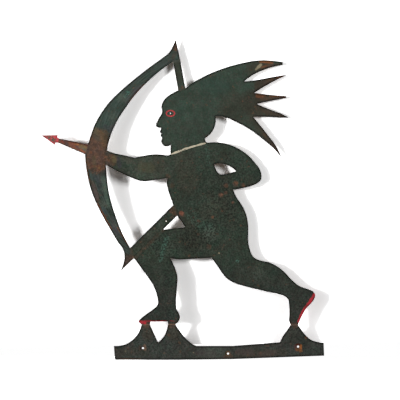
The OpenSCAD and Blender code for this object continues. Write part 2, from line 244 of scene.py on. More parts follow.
def buildRust():
    # dark scale, brown and orange bloom and the mauve cast of old heated iron
    tree, given, result = newGroup(
        "rustBloom", {"Scale": 90.0, "Orange": 0.5},
        {"Colour": "Color", "Height": "Float", "Bloom": "Float"})
    coarse = noiseAt(tree, given["Place"], given["Scale"], 5.0, 0.6)
    fine = noiseAt(tree, given["Place"], 420.0, 3.0, 0.7)
    moved = vectorCalc(tree, "ADD", given["Place"], (0.37, 1.3, 0.21))
    other = noiseAt(tree, moved, times(tree, given["Scale"], 1.7), 5.0, 0.65)
    scale = blend(tree, remap(tree, other, 0.4, 0.62), colour(60, 48, 41), colour(86, 70, 64))
    warm = blend(tree, remap(tree, other, 0.38, 0.66), colour(104, 78, 55), colour(142, 90, 54))
    bloom = times(tree, remap(tree, coarse, 0.36, 0.64), given["Orange"])
    tone = blend(tree, bloom, scale, warm)
    grit = blend(tree, remap(tree, fine, 0.34, 0.66), (0.72, 0.72, 0.72, 1), (1.22, 1.2, 1.18, 1))
    feed(tree, result["Colour"], blend(tree, 1.0, tone, grit, "MULTIPLY"))
    feed(tree, result["Bloom"], bloom)
    feed(tree, result["Height"], calc(tree, "ADD", coarse, times(tree, fine, 0.5)))
    return tree


def buildCrackle():
    # hairline cracks of a dried paint coat, and the few flakes gone between them
    tree, given, result = newGroup(
        "crackle", {"Scale": 260.0, "Gap": 0.05, "Lost": 0.25}, {"Lines": "Float", "Flakes": "Float"})
    bent = noiseAt(tree, given["Place"], 180.0, out="Color")
    place = vectorCalc(tree, "ADD", given["Place"], vectorCalc(tree, "SCALE", bent, 2.2 * mm))
    cells = add(tree, "TexVoronoi", {"Vector": place, "Scale": given["Scale"]}, feature="DISTANCE_TO_EDGE")
    tiles = add(tree, "TexVoronoi", {"Vector": place, "Scale": given["Scale"]}, feature="F1")
    where = noiseAt(tree, given["Place"], 38.0, 3.0)
    lines = remap(tree, cells.outputs["Distance"], given["Gap"], 0.0)
    shade = add(tree, "SeparateXYZ", {0: tiles.outputs["Color"]}).outputs["X"]
    lost = calc(tree, "LESS_THAN", shade, times(tree, given["Lost"], remap(tree, where, 0.4, 0.66)))
    feed(tree, result["Lines"], times(tree, lines, remap(tree, where, 0.35, 0.6)))
    feed(tree, result["Flakes"], lost)
    return tree


mottling = buildMottling()
sheetSides = buildSides()
edgeWear = buildEdgeWear()
spotMark = buildSpot()
strokeMark = buildStroke()
rustBloom = buildRust()
crackle = buildCrackle()
print("effects built")


# Small helpers for materials.

def newMaterial(name):
    material = bpy.data.materials.new(name)
    material.use_nodes = True
    tree = material.node_tree
    return material, tree, tree.nodes["Principled BSDF"], add(tree, "TexCoord").outputs["Object"]


def finish(tree, shader, tone, rough, normal, gloss=0.5):
    feed(tree, shader.inputs["Base Color"], tone)
    feed(tree, shader.inputs["Roughness"], rough)
    feed(tree, shader.inputs["Normal"], normal)
    shader.inputs["Specular IOR Level"].default_value = gloss


def sheetPoint(x, z):
    # from millimetres on the sheet
    return x * mm, 0, z * mm


def allMarks(tree, place, spots, strokes):
    # the strongest of several marks at each point
    mask = 0.0
    for x, z, radius, strength in spots:
        one = use(tree, spotMark, Place=place, Middle=sheetPoint(x, z), Radius=radius * mm)["Mask"]
        mask = calc(tree, "MAXIMUM", mask, times(tree, one, strength))
    for start, end, width, strength in strokes:
        one = use(tree, strokeMark, Place=place, From=sheetPoint(*start), To=sheetPoint(*end),
                  Width=width * mm)["Mask"]
        mask = calc(tree, "MAXIMUM", mask, times(tree, one, strength))
    return mask


def tintedMarks(tree, place, tone, marks):
    # soft gritty patches of other tones, laid one over the other in the order of the list
    covered = 0.0
    for start, end, width, strength, card in marks:
        mask = allMarks(tree, place, [], [(start, end, width, strength)])
        tone = blend(tree, mask, tone, colour(*card))
        covered = calc(tree, "MAXIMUM", covered, mask)
    grit = noiseAt(tree, place, 260.0, 4.0, 0.7)
    grit = blend(tree, remap(tree, grit, 0.34, 0.66), (0.55, 0.5, 0.46, 1), (1.35, 1.3, 1.25, 1))
    return blend(tree, covered, tone, blend(tree, 1.0, tone, grit, "MULTIPLY"))


jointLook = {"cover": 7.2, "short": 3.0}  # of a stroke over a joint, and less than it at each end, in mm


def jointLine(name):
    # middle, direction and length of a joint, from the corners on its solid's front half
    points = [Vector((v.co.x, v.co.z)) for v in node[name].data.vertices if v.co.y < -thick / 2]
    middle = sum(points, Vector((0, 0))) / len(points)
    xx = sum((p.x - middle.x) ** 2 for p in points)
    zz = sum((p.y - middle.y) ** 2 for p in points)
    xz = sum((p.x - middle.x) * (p.y - middle.y) for p in points)
    turn = 0.5 * math.atan2(2 * xz, xx - zz)
    along = Vector((math.cos(turn), math.sin(turn)))
    reach = [(p - middle).dot(along) for p in points]
    return middle, along, max(reach) - min(reach)


def jointStrokes(names):
    # strokes in millimetres that cover the named joints and stop short of their ends
    strokes = []
    for name in names:
        middle, along, length = jointLine(name + "_seam")
        arm = along * (length / 2 - jointLook["short"] * mm)
        strokes.append((tuple((middle - arm) / mm), tuple((middle + arm) / mm), jointLook["cover"], 1))
    return strokes


def unbroken(tree, place, joints, spots=()):
    # 1 on a plain edge, and 0 where a joint or a hole breaks off the dark line along it
    return calc(tree, "SUBTRACT", 1.0, allMarks(tree, place, spots, jointStrokes(joints)))


def dress(name, material):
    mesh = node[name].data
    mesh.materials.clear()
    mesh.materials.append(material)


# The old green paint.

greenCoat = {
    # heights, in metres, over which one tone of the sheet turns into the other
    "bodyToHead": (0.36, 0.47), "smoothToCoarse": (0.47, 0.37), "greenToGreyFoot": (0.19, 0.11),
    # round a hole, in millimetres: no dark line this near, and the dish that a screw has pressed
    "holeClear": 6, "holeDish": 3.8,
    # the dark and the light of a mottled tone
    "body": (colour(22, 30, 25), colour(59, 72, 61)), "head": (colour(33, 44, 37), colour(69, 86, 75)),
    "fresh": (colour(46, 54, 46), colour(73, 82, 71)), "haze": (colour(38, 34, 28), colour(70, 64, 53)),
    "dark": (colour(12, 12, 10), colour(48, 52, 43)), "red": (colour(150, 34, 44), colour(188, 58, 66)),
    "patches": colour(52, 47, 40), "clouds": colour(26, 33, 27), "brushed": colour(84, 97, 93),
    "mauve": colour(78, 72, 76), "teal": colour(70, 112, 98), "light": colour(92, 98, 88),
    "ochre": colour(104, 85, 56), "orange": colour(142, 84, 50), "edge": colour(3, 3, 2),
    "pale": colour(152, 140, 114),
    # how strongly each of these lies over the paint
    "patchShare": 0.25, "cloudShare": 0.3, "darkShare": 0.8, "brushedShare": 0.5,
    # how much rust shows: lost flakes, cracks, worn edges, the back and the cut rim
    "rustShares": (0.4, 0.3, 0.3, 0.85, 0.7),
}


def greenPaint(name, look, coat=greenCoat):
    material, tree, shader, place = newMaterial(name)

    def marks(spots=None, strokes=None):
        return allMarks(tree, place, look.get(spots, []), look.get(strokes, []))

    side = use(tree, sheetSides, Place=place)
    mottle = use(tree, mottling, Place=place)
    edge = use(tree, edgeWear, Place=place)
    rust = use(tree, rustBloom, Place=place, Orange=0.45)
    cracks = use(tree, crackle, Place=place, Lost=look.get("lost", 0.05))
    axes = add(tree, "SeparateXYZ", {0: place}).outputs

    # lighter, smoother and greener on the head, darker, greyer and coarser down the body
    upper = remap(tree, axes["Z"], *coat["bodyToHead"], smooth=False)
    coarse = remap(tree, axes["Z"], *coat["smoothToCoarse"], 0.4, 1.0)
    gritty = times(tree, marks("gritty"), 0.8)
    coarse = times(tree, coarse, calc(tree, "ADD", 1.0, gritty))
    speck = calc(tree, "SUBTRACT", mottle["Grain"], 0.5)
    speck = calc(tree, "ADD", 0.5, times(tree, speck, coarse), clamp=True)
    low, high = [blend(tree, upper, coat["body"][i], coat["head"][i]) for i in (0, 1)]
    fresh = marks("fresh")
    low, high = [blend(tree, fresh, (low, high)[i], coat["fresh"][i]) for i in (0, 1)]
    tone = blend(tree, speck, low, high)
    tint = noiseAt(tree, place, 210.0, 3.0)
    tint = blend(tree, remap(tree, tint, 0.36, 0.64), (0.9, 1.03, 0.97, 1), (1.13, 0.98, 1.02, 1))
    tone = blend(tree, 1.0, tone, tint, "MULTIPLY")
    tone = blend(tree, times(tree, mottle["Patches"], coat["patchShare"]), tone, coat["patches"])
    tone = blend(tree, times(tree, mottle["Clouds"], coat["cloudShare"]), tone, coat["clouds"])
    tone = blend(tree, 1.0, tone, look.get("cast", (1, 1, 1, 1)), "MULTIPLY")
    # darker and greyer again towards the feet
    if "footCast" in look:
        greyed = blend(tree, 1.0, tone, look["footCast"], "MULTIPLY")
        foot = remap(tree, axes["Z"], *coat["greenToGreyFoot"], smooth=False)
        tone = blend(tree, foot, tone, greyed)
    haze = marks("brownHaze", "brownStrokes")
    tone = blend(tree, haze, tone, blend(tree, speck, *coat["haze"]))
    dark = times(tree, marks("dark", "darkStrokes"), coat["darkShare"])
    tone = blend(tree, dark, tone, blend(tree, speck, *coat["dark"]))
    if "bent" in look:
        # brush streaks that follow the bow's curve
        away = vectorCalc(tree, "SUBTRACT", place, tuple(v * mm for v in look["bent"]))
        reach = vectorCalc(tree, "LENGTH", away, out="Value")
        parts = add(tree, "SeparateXYZ", {0: away}).outputs
        swing = times(tree, calc(tree, "ARCTAN2", parts["Z"], parts["X"]), 0.1)
        streaked = add(tree, "CombineXYZ", {"X": reach, "Y": 0.0, "Z": swing}).outputs[0]
        brushed = use(tree, mottling, Place=streaked, Streak=430.0)["Streaks"]
        brushed = times(tree, brushed, coat["brushedShare"])
        tone = blend(tree, brushed, tone, coat["brushed"])
        worn = times(tree, marks(strokes="mauve"), remap(tree, mottle["Clouds"], -0.2, 0.9))
        tone = blend(tree, worn, tone, coat["mauve"])
    teal = times(tree, marks("teal", "tealStrokes"), remap(tree, mottle["Grain"], 0.25, 0.85))
    tone = blend(tree, teal, tone, coat["teal"])
    light = times(tree, marks("light"), calc(tree, "ADD", speck, 0.1))
    tone = blend(tree, light, tone, coat["light"])

    bare = times(tree, marks("rustSpots", "rustStrokes"), remap(tree, mottle["Patches"], -0.6, 0.5),
                 clamp=True)
    weathered = calc(tree, "ADD", mottle["Patches"], times(tree, mottle["Clouds"], 0.6))
    behind = times(tree, side["Back"], remap(tree, weathered, 0.45, 1.0))
    rusty = (cracks["Flakes"], cracks["Lines"], edge["Bare"], behind, side["Rim"])
    for mask, share in zip(rusty, coat["rustShares"]):
        bare = calc(tree, "MAXIMUM", bare, times(tree, mask, share))
    tone = blend(tree, bare, tone, rust["Colour"])
    ochre = times(tree, marks("ochre"), calc(tree, "ADD", mottle["Grain"], 0.35), clamp=True)
    tone = blend(tree, ochre, tone, coat["ochre"])
    tone = tintedMarks(tree, place, tone, look.get("tinted", []))
    orange = marks("orangeSpots", "orangeStrokes")
    orange = times(tree, orange, remap(tree, mottle["Grain"], -0.4, 0.7))
    tone = blend(tree, orange, tone, coat["orange"])

    # a near-black line painted just inside every cut edge, strongest on the front, but not along a joint
    # or round a hole
    holes = look.get("holes", [])
    whole = unbroken(tree, place, look["joints"], [(x, z, coat["holeClear"], 1) for x, z in holes])
    line = times(tree, edge["Near"], remap(tree, side["Front"], 0.0, 1.0, 0.3, 0.95, smooth=False))
    tone = blend(tree, times(tree, line, whole), tone, coat["edge"])

    red = times(tree, marks(strokes="red"), remap(tree, mottle["Clouds"], 1.6, 0.2), clamp=True)
    tone = blend(tree, red, tone, blend(tree, mottle["Grain"], *coat["red"]))
    tone = blend(tree, marks("pale", "paleStrokes"), tone, coat["pale"])

    relief = calc(tree, "ADD", times(tree, mottle["Grain"], 0.5), times(tree, mottle["Clouds"], 0.8))
    relief = calc(tree, "SUBTRACT", relief, times(tree, cracks["Lines"], 0.8))
    pitted = calc(tree, "ADD", 0.15, times(tree, behind, 0.6))
    relief = calc(tree, "ADD", relief, times(tree, rust["Height"], pitted))
    normal = bumped(tree, relief, 0.35, 0.25, Normal=edge["Round"])
    if holes:
        # the rail is drawn in a little round each hole, where screws have pulled on it
        dish = allMarks(tree, place, [(x, z, coat["holeDish"], 1) for x, z in holes], [])
        normal = bumped(tree, calc(tree, "SUBTRACT", 1.0, dish), 1.0, 1.0, Normal=normal)
    rough = remap(tree, calc(tree, "ADD", mottle["Clouds"], bare), 0.0, 1.4, 0.6, 0.86)
    finish(tree, shader, tone, rough, normal, gloss=0.08)
    return material


archerLook = {
    # x, z, radius and strength of a spot, or start, end, width and strength of a stroke, in
    # millimetres from the rail's middle hole
    "joints": ["front_toe", "front_heel", "rear_toe", "hand", "head", "waist", "knee"],
    "footCast": (0.96, 0.84, 0.95, 1),
    "brownHaze": [(14, 491, 34, 0.35), (44, 498, 24, 0.6), (50, 470, 18, 0.4), (54, 567, 18, 0.6),
                  (-138, 375, 15, 0.25), (-228, 385, 12, 0.5)],
    "brownStrokes": [((-86, 384), (-80, 340), 40, 0.3), ((-12, 300), (-84, 262), 30, 0.2),
                     ((66, 536), (134, 558), 28, 0.95), ((62, 515), (134, 516), 28, 0.9),
                     ((62, 496), (128, 471), 28, 0.8), ((54, 478), (108, 392), 28, 0.7)],
    "fresh": [(-158, 382, 44, 1), (-108, 384, 20, 0.4)],
    "gritty": [(-6, 300, 44, 1), (-50, 236, 40, 1), (-128, 212, 26, 1)],
    "dark": [(-74, 227, 25, 0.9), (-50, 228, 16, 0.6), (-35, 318, 9, 0.6), (-14, 354, 11, 0.7),
             (-4, 398, 13, 0.3)],
    "darkStrokes": [((-12, 344), (12, 262), 26, 0.4), ((0, 472), (52, 508), 34, 0.45),
                    ((-136, 116), (-128, 88), 26, 0.25)],
    "light": [(-36, 241, 13, 0.35), (58, 160, 15, 0.2)],
    "lost": 0.03,
    "teal": [(19, 185, 3, 0.9), (-37, 251, 9, 0.3)],
    "tealStrokes": [((-123, 232), (-135, 188), 9, 0.4), ((-44, 420), (-38, 380), 9, 0.2),
                    ((-72, 276), (-42, 246), 22, 0.15)],
    "rustSpots": [(-93, 280, 5.2, 1), (-4, 336, 3.8, 0.9), (15, 340, 4.8, 0.9), (30, 337, 3.8, 0.8),
                  (-14, 317, 4.4, 0.9), (-5, 321, 3.4, 0.8), (10, 302, 2.6, 0.9), (-31, 273, 2.8, 0.8),
                  (-59, 265, 3.2, 0.7), (-59, 238, 2.6, 0.7), (-38, 213, 4.5, 0.7), (11, 267, 2.4, 0.5),
                  (-120, 354, 5, 0.35), (-112, 336, 5, 0.3)],
    "rustStrokes": [((-246, 391), (-238, 388), 28, 0.85), ((76, 573), (126, 571), 17, 0.8),
                    ((80, 540), (134, 558), 20, 0.35), ((68, 515), (134, 516), 20, 0.45),
                    ((76, 488), (128, 471), 20, 0.3), ((72, 452), (108, 392), 20, 0.4),
                    ((-174, 59), (-154, 59), 9, 0.4), ((-122, 59), (-104, 61), 10, 0.6),
                    ((124, 59), (140, 59), 7, 0.35), ((-42, 434), (-44, 424), 4, 0.8)],
    "ochre": [(-226, 389, 6, 0.35)],
    "tinted": [((-94, 281), (-92, 280), 7, 0.6, (128, 80, 62)),
               ((-44, 538), (-8, 532), 26, 0.3, (44, 70, 62)),
               ((-172, 373), (-156, 371), 20, 0.25, (88, 84, 62)),
               ((-228, 391), (-227, 385), 9, 0.4, (92, 88, 62)),
               ((-219, 390), (-217, 374), 8, 0.6, (56, 57, 62)),
               ((-206, 392), (-198, 384), 12, 0.3, (84, 80, 70)),
               ((56, 556), (66, 562), 8, 0.35, (96, 92, 52)),
               ((60, 516), (72, 518), 10, 0.5, (120, 74, 48))],
    "orangeStrokes": [((64, 583), (88, 582), 4.6, 0.8), ((84, 515), (114, 514), 3.6, 0.6),
                      ((98, 551), (112, 555), 3.6, 0.5), ((66, 571), (78, 576), 3, 0.4)],
    "red": [((-175, 63.5), (-166, 62), 6, 1), ((-166, 65), (-155, 65), 4, 0.65),
            ((-154, 65), (-123, 65.5), 1.6, 0.7), ((-116, 66), (-108, 65), 1.6, 0.35),
            ((173, 119), (162, 101), 5.4, 1), ((160, 100), (149, 84), 5, 1), ((149, 84), (141, 64), 5, 1)],
    "pale": [(-18, 201, 1.7, 0.7)],
    "paleStrokes": [((56, 568), (60, 572), 4.4, 0.6), ((60, 572), (65, 577), 6, 0.8)],
}
bowLook = {
    "joints": ["hand", "arrow", "upper_nock", "lower_nock"],
    "bent": (-60, 0, 400),
    "cast": (0.86, 0.87, 0.91, 1),
    "brownStrokes": [((-176, 530), (-200, 500), 8, 0.4), ((-276, 346), (-256, 296), 10, 0.5)],
    "mauve": [((-200, 504), (-176, 532), 13, 0.6), ((-232, 450), (-222, 458), 14, 0.4),
              ((-264, 352), (-246, 346), 14, 0.5), ((-150, 566), (-120, 588), 9, 0.3),
              ((-232, 270), (-214, 236), 10, 0.3)],
    "tinted": [((-270, 414), (-262, 384), 30, 0.45, (92, 72, 64)),
               ((-262, 436), (-254, 432), 16, 0.4, (82, 78, 68)),
               ((-246, 454), (-226, 440), 9, 0.6, (56, 61, 62)),
               ((-268, 392), (-266, 372), 7, 0.4, (78, 76, 56)),
               ((-246, 440), (-246, 428), 14, 0.35, (66, 64, 48)),
               ((-266, 448), (-262, 442), 10, 0.6, (92, 86, 68)),
               ((-252, 440), (-252, 430), 8, 0.3, (108, 82, 58)),
               ((-250, 362), (-246, 356), 12, 0.6, (52, 56, 54)),
               ((-268, 354), (-262, 346), 12, 0.5, (50, 64, 62)),
               ((-258, 373), (-257, 369), 9, 0.4, (106, 68, 46)),
               ((-258, 372), (-257, 370), 3.4, 0.6, (110, 86, 56)),
               ((-249, 350), (-238, 298), 10, 0.4, (78, 100, 88)),
               ((-268, 336), (-262, 312), 9, 0.4, (92, 74, 72)),
               ((-262, 350), (-257, 330), 7, 0.3, (62, 68, 72)),
               ((-250, 290), (-244, 280), 8, 0.25, (64, 78, 84)),
               ((-230, 256), (-222, 240), 7, 0.4, (70, 66, 74)),
               ((-272, 374), (-264, 374), 6, 0.3, (106, 66, 46))],
    "light": [(-212, 512, 9, 0.6), (-244, 330, 8, 0.5), (-246, 300, 8, 0.5), (-226, 256, 6, 0.4),
              (-230, 474, 8, 0.4)],
    "teal": [(-200, 521, 4, 0.9), (-205, 515, 3.4, 0.7)],
    "rustStrokes": [((-257, 426), (-262, 382), 44, 1), ((-103, 611), (-101, 632), 16, 0.9),
                    ((-198, 190), (-208, 170), 18, 0.8), ((-110, 590), (-106, 600), 8, 0.4)],
    "rustSpots": [(-272, 342, 5, 0.6), (-260, 306, 4, 0.5), (-244, 276, 3, 0.5)],
    "ochre": [(-256, 436, 12, 0.2), (-246, 420, 9, 0.25)],
    "orangeSpots": [(-274, 402, 3, 0.3)],
    "orangeStrokes": [((-196, 505), (-168, 537), 3.2, 0.4), ((-283, 374), (-277, 346), 2.4, 0.6),
                      ((-288, 392), (-284, 380), 3, 0.4),
                      ((-261, 300), (-243, 267), 2.6, 0.7), ((-243, 267), (-232, 248), 2.2, 0.6),
                      ((-221, 252), (-200, 217), 2, 0.5)],
}
stringLook = {
    "joints": ["upper_nock", "head", "lower_nock", "waist", "knee"],
    "brownStrokes": [((-100, 575), (-96, 548), 14, 0.4), ((-190, 204), (-150, 243), 20, 0.15)],
    "light": [(-134, 256, 7, 0.3), (-156, 236, 7, 0.3)],
    "rustStrokes": [((-84, 512), (-82, 500), 16, 0.6), ((-114, 292), (-106, 284), 16, 0.7)],
    "orangeStrokes": [((-92, 534), (-86, 508), 2.4, 0.4)],
    "pale": [(-123.5, 264.8, 1.6, 0.8)],
}
railLook = {
    "joints": ["front_toe", "front_heel", "rear_toe"],
    "cast": (1.3, 1.05, 1.24, 1),
    "brownHaze": [(-160, 40, 14, 0.5), (-108, 40, 14, 0.5)],
    "brownStrokes": [((-215, 4), (-165, 4), 16, 0.3), ((20, 0), (112, 3), 14, 0.4)],
    "light": [(131, 46, 9, 0.15), (-160, 50, 8, 0.2), (-112, 50, 8, 0.2), (-30, 4, 22, 0.35)],
    "dark": [(144, 34, 22, 0.55)],
    "holes": [(-170, 11), (0, 0), (140, 14)],
    "rustSpots": [(-170, 11, 4, 0.7), (0, 0, 4.6, 0.9), (140, 14, 5, 1), (-118, 37, 2.6, 0.5),
                  (-97, 22, 2.6, 0.4),
                  (-95, 4, 2.6, 0.5), (40, -4, 3, 0.5), (66, 1, 3, 0.5), (88, -2, 2.4, 0.5),
                  (156, 32, 3, 0.6)],
    # round the holes: the dark marks on the left side of each hole and over the right hole are painted
    # shade in the holes' pressed-in rims; the lighter brown and orange on the right sides of the left and
    # right holes are rust with painted light on it; the other marks are rust and stains
    "tinted": [((-167, 16), (-166, 9), 6, 0.6, (116, 92, 76)),
               ((-176, 14), (-176, 9), 6, 0.45, (74, 62, 52)),
               ((-174, 12.5), (-174, 9.5), 2.6, 0.9, (34, 13, 8)),
               ((-7, -6), (7, -5), 7, 0.4, (86, 68, 56)),
               ((-0.5, 0), (0.5, 0), 9, 0.6, (104, 82, 54)), ((-4, 2), (-4, -1), 3, 0.8, (60, 50, 28)),
               ((134, 16), (134, 11), 4, 0.6, (78, 52, 52)), ((145, 16), (145, 9), 5, 0.85, (140, 86, 46)),
               ((137, 8), (143, 8), 5, 0.8, (112, 76, 50)), ((137, 18), (143, 18.5), 3, 0.9, (60, 14, 4)),
               ((144, 4), (148, 5), 3.4, 0.6, (116, 80, 50)), ((20, 4), (46, 2), 12, 0.3, (84, 72, 72)),
               ((64, -2), (90, 2), 12, 0.3, (84, 70, 66)), ((-60, 2), (-30, -2), 12, 0.3, (74, 68, 68))],
    "rustStrokes": [((-219, -11), (-175, -11), 3, 0.9), ((-172, 55), (-155, 55), 8, 0.35),
                    ((-120, 55), (-105, 55), 8, 0.5), ((126, 55), (139, 55), 6, 0.25)],
    "orangeSpots": [(156, 32, 1.6, 0.5)],
    "pale": [(-69, 2, 1.3, 0.35), (-205, 5, 2.2, 0.2)],
}
archerPaint = greenPaint("green paint, figure", archerLook)
bowPaint = greenPaint("green paint, bow", bowLook)
stringPaint = greenPaint("green paint, strings", stringLook)
dress("archer", archerPaint)
dress("bow", bowPaint)
dress("upper_bowstring", stringPaint)
dress("lower_bowstring", stringPaint)
dress("base_rail", greenPaint("green paint, rail", railLook))
print("green sheets painted")


# Bare rusty iron, red point, brazing.

def rustyIron(name, look):
    material, tree, shader, place = newMaterial(name)
    edge = use(tree, edgeWear, Place=place, Width=look["edge"] * mm)
    rust = use(tree, rustBloom, Place=place, Scale=look["scale"], Orange=look["orange"])
    whole = unbroken(tree, place, look["joints"])
    tone = blend(tree, 1.0, rust["Colour"], look["tint"], "MULTIPLY")
    tone = tintedMarks(tree, place, tone, look["tinted"])
    line = times(tree, times(tree, edge["Near"], look["lineShare"]), whole)
    tone = blend(tree, line, tone, look["line"])
    finish(tree, shader, tone, remap(tree, rust["Bloom"], 0.0, 1.0, 0.66, 0.9),
           bumped(tree, rust["Height"], 0.5, 0.3, Normal=edge["Round"]), gloss=0.3)
    return material


def redPoint(name, look):
    material, tree, shader, place = newMaterial(name)
    side = use(tree, sheetSides, Place=place)
    mottle = use(tree, mottling, Place=place, Cloud=look["cloud"])
    edge = use(tree, edgeWear, Place=place, Width=look["edge"] * mm)
    rust = use(tree, rustBloom, Place=place, Scale=look["scale"], Orange=look["orange"])
    tone = blend(tree, mottle["Grain"], look["dark"], look["light"])
    worn = times(tree, allMarks(tree, place, [], look["worn"]), remap(tree, mottle["Grain"], 1.2, 0.2))
    tone = blend(tree, worn, tone, look["under"])
    behind = times(tree, side["Back"], remap(tree, mottle["Patches"], 0.2, 0.7))
    tone = blend(tree, behind, tone, rust["Colour"])
    whole = unbroken(tree, place, look["joints"])
    line = times(tree, times(tree, edge["Near"], look["lineShare"]), whole)
    tone = blend(tree, line, tone, look["line"])
    finish(tree, shader, tone, remap(tree, mottle["Clouds"], 0.0, 1.0, 0.5, 0.72),
           bumped(tree, mottle["Grain"], 0.3, 0.2, Normal=edge["Round"]))
    return material


def brazingMetal(name, look):
    material, tree, shader, place = newMaterial(name)
    side = use(tree, sheetSides, Place=place)
    mottle = use(tree, mottling, Place=place, Cloud=look["cloud"])
    rust = use(tree, rustBloom, Place=place, Scale=look["scale"], Orange=look["orange"])
    brass = blend(tree, mottle["Grain"], look["dark"], look["light"])
    covered = calc(tree, "MAXIMUM", calc(tree, "SUBTRACT", 1.0, side["Back"]),
                   remap(tree, mottle["Clouds"], 0.35, 0.75))
    feed(tree, shader.inputs["Metallic"], remap(tree, covered, 0.6, 0.0, 0.0, 0.8))
    finish(tree, shader, blend(tree, covered, brass, rust["Colour"]),
           remap(tree, covered, 0.0, 1.0, 0.45, 0.8), bumped(tree, rust["Height"], 0.3, 0.2))
    return material


shaftLook = {
    "joints": ["arrow", "arrow_head"], "edge": 4.0, "scale": 150.0, "orange": 0.8,
    "tint": (1.02, 0.76, 0.64, 1), "line": colour(24, 15, 11), "lineShare": 0.9,
    "tinted": [((-332, 424), (-329, 423), 5, 0.6, (120, 46, 36)),
               ((-325, 424), (-322, 420), 8, 0.7, (62, 44, 42)),
               ((-314, 420), (-309, 416), 7, 0.7, (112, 66, 54)),
               ((-304, 420), (-300, 419), 6, 0.8, (142, 90, 52)),
               ((-302, 413), (-298, 410), 6, 0.7, (78, 60, 62)),
               ((-292, 407), (-287, 404), 6, 0.7, (146, 82, 50)),
               ((-292, 415), (-284, 408), 10, 0.7, (108, 94, 62)),
               ((-290, 409), (-286, 406), 5, 0.6, (80, 84, 78)),
               ((-338, 429.5), (-280, 417), 5, 0.8, (60, 24, 14))]}
pointLook = {"joints": ["arrow_head"], "edge": 3.0, "cloud": 160.0, "scale": 220.0, "orange": 0.6,
             "dark": colour(122, 22, 30), "light": colour(184, 50, 56), "under": colour(36, 44, 24),
             "line": colour(90, 14, 20), "lineShare": 0.75,
             "worn": [((-358, 433), (-348, 426), 8, 1), ((-372, 434), (-358, 432), 4, 0.6)]}
brazingLook = {"cloud": 180.0, "scale": 200.0, "orange": 0.5,
               "dark": colour(128, 98, 58), "light": colour(170, 136, 84)}
shaftIron = rustyIron("rusty iron, shaft", shaftLook)
dress("arrow_shaft", shaftIron)
dress("arrow_head", redPoint("red paint, point", pointLook))
brazing = brazingMetal("brazing metal", brazingLook)
for name in node:
    if name.endswith("_seam"):
        dress(name, brazing)
print("iron, point and joints finished")


# Small helpers for meshes.

def newObject(name, data):
    made = bpy.data.objects.new(name, data)
    bpy.context.scene.collection.objects.link(made)
    return made


def newPiece(name, mesh, *materials):
    data = bpy.data.meshes.new(name)
    mesh.to_mesh(data)
    mesh.free()
    for material in materials:
        data.materials.append(material)
    return newObject(name, data)


def joinRings(mesh, rings, smoothTo, closed=False):
    # skin between rings of points; an open row of them is capped at both ends
    for one, two in zip(rings, rings[1:] + rings[:1] if closed else rings[1:]):
        for j in range(len(one)):
            k = (j + 1) % len(one)
            mesh.faces.new((one[j], one[k], two[k], two[j])).smooth = j < smoothTo
    if not closed:
        mesh.faces.new(rings[0])
        mesh.faces.new(rings[-1][::-1])
    bmesh.ops.recalc_face_normals(mesh, faces=mesh.faces)


# Brushed lines: the necklace and the ring round the eye hole.

def brushedLine(name, path, look, material, closed=False):
    # a low domed film of paint on the front face, a little uneven in width as a hand lays it
    random.seed(look["seed"])
    drift = random.uniform(0, 50)
    mesh = bmesh.new()
    rings = []
    count = len(path)
    for i, (x, z) in enumerate(path):
        before = path[(i - 1) % count] if closed or i > 0 else path[i]
        after = path[(i + 1) % count] if closed or i < count - 1 else path[i]
        ahead = Vector((after[0] - before[0], after[1] - before[1])).normalized()
        across = Vector((-ahead.y, ahead.x))
        wobble = noise.noise(Vector((x * look["wave"] + drift, z * look["wave"], 0)))
        swell = noise.noise(Vector((x * look["ripple"], z * look["ripple"] + drift, 4)))
        half = look["width"] / 2 * (1 + look["uneven"] * wobble)
        if not closed:
            rest = min(i, count - 1 - i) / (count - 1)
            half *= min(1, look["tipWidth"] + look["tipGrowth"] * rest)
        ring = []
        for j in range(look["dome"]):
            side = -1 + 2 * j / (look["dome"] - 1)
            rise = look["film"] * (1 - side ** 4) * (look["filmShare"] + look["swellShare"] * swell)
            point = Vector((x, z)) + across * (half * side + look["stray"] * wobble * look["width"])
            ring.append(mesh.verts.new((point.x * mm, -thick - rise * mm, point.y * mm)))
        for side in (look["tuck"], -look["tuck"]):
            point = Vector((x, z)) + across * half * side
            ring.append(mesh.verts.new((point.x * mm, -thick + look["sunk"] * mm, point.y * mm)))
        rings.append(ring)
    joinRings(mesh, rings, look["dome"] - 1, closed)
    line = newPiece(name, mesh, material)
    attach(line, "root")


def filmPaint(name, look):
    # thin hand-laid paint with the green showing through where the brush ran dry
    material, tree, shader, place = newMaterial(name)
    mottle = use(tree, mottling, Place=place, Cloud=220.0, Grain=900.0)
    cracks = use(tree, crackle, Place=place, Scale=520.0, Lost=0.2)
    tone = blend(tree, mottle["Grain"], look["dark"], look["light"])
    dry = calc(tree, "MAXIMUM", times(tree, mottle["Patches"], look["dry"]),
               times(tree, cracks["Flakes"], look["flaked"]))
    tone = blend(tree, dry, tone, look["under"])
    finish(tree, shader, tone, remap(tree, mottle["Clouds"], 0.0, 1.0, 0.5, 0.72),
           bumped(tree, mottle["Clouds"], 0.4, 0.15), gloss=0.3)
    return material


# lengths in millimetres; dome is how many points go over the line, and points how many along it
brushLook = {"film": 0.09, "filmShare": 0.8, "swellShare": 0.3, "sunk": 0.05, "tuck": 0.96, "stray": 0.12,
             "wave": 0.16, "ripple": 0.4, "tipWidth": 0.55, "tipGrowth": 4, "dome": 9,
             # the green under it, and how much of that shows where it is dry and where it has flaked
             "under": colour(58, 58, 46), "flaked": 0.7}
necklaceLook = {**brushLook, "width": 3.8, "uneven": 0.3, "seed": 5, "points": 41,
                "light": colour(212, 202, 180), "dark": colour(176, 164, 138), "dry": 0.25,
                "from": (-114.4, 398.2), "to": (-44.2, 420.6), "sag": 2.2}
eyeLook = {**brushLook, "width": 2.7, "uneven": 0.35, "seed": 8, "points": 48,
           "light": colour(196, 62, 66), "dark": colour(150, 36, 42), "dry": 0.2,
           "middle": (-115, 480), "long": 8.2, "high": 5.6}


